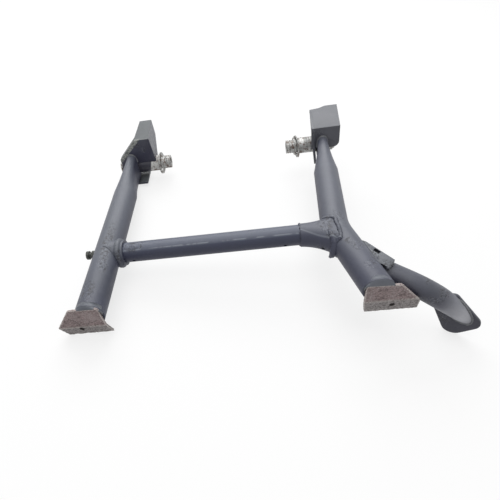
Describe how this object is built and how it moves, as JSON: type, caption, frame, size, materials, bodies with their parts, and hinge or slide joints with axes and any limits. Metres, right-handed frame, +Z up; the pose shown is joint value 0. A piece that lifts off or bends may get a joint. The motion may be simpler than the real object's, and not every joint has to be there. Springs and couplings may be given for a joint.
{
  "type": "motorcycle centre stand",
  "caption": "Welded tubular steel centre stand with two pivot brackets and sleeves, a cross tube, bent sole plates and a side foot lever.",
  "frame": {"origin": "centre of the bounding box on the floor plane that the stand rests on", "axes": "+Z up from the floor; +X along the pivot axis towards the foot lever, as seen in a top view its longest side; +Y from the soles to the pivots"},
  "size_m": [0.4796, 0.3896, 0.1071],
  "materials": {
    "painted_steel": "satin blue-grey paint, worn",
    "worn_sole": "bare, worn and lightly rusted",
    "sleeve_steel": "bare machined steel with rust spots"
  },
  "bodies": {
    "stand": {"left_pivot_boss": "sleeve_steel", "right_pivot_boss": "sleeve_steel", "left_leg_tube": "painted_steel", "right_leg_tube": "painted_steel", "cross_tube": "painted_steel", "left_joint_weld": "painted_steel", "cross_tube_branch": "painted_steel", "lever_tube": "painted_steel", "lever_foot_pad": "painted_steel", "lever_gusset": "painted_steel", "left_sole_plate": "worn_sole", "right_sole_plate": "worn_sole", "left_bracket": "painted_steel", "right_bracket": "painted_steel", "spring_peg": "sleeve_steel"},
    "left_sleeve": {"left_pivot_sleeve": "sleeve_steel", "left_sleeve_washer": "sleeve_steel"},
    "right_sleeve": {"right_pivot_sleeve": "sleeve_steel", "right_sleeve_washer": "sleeve_steel", "right_sleeve_ring": "sleeve_steel"}
  },
  "joints": [
    {"name": "left_sleeve_turn", "type": "hinge", "parent": "stand", "child": "left_sleeve", "pos_m": [-0.18036, 0.13411, 0.02561], "axis": [0.9907, 0.0042, 0.1357], "continuous": true},
    {"name": "right_sleeve_turn", "type": "hinge", "parent": "stand", "child": "right_sleeve", "pos_m": [0.08748, 0.13524, 0.06229], "axis": [0.9907, 0.0042, 0.1357], "continuous": true}
  ]
}
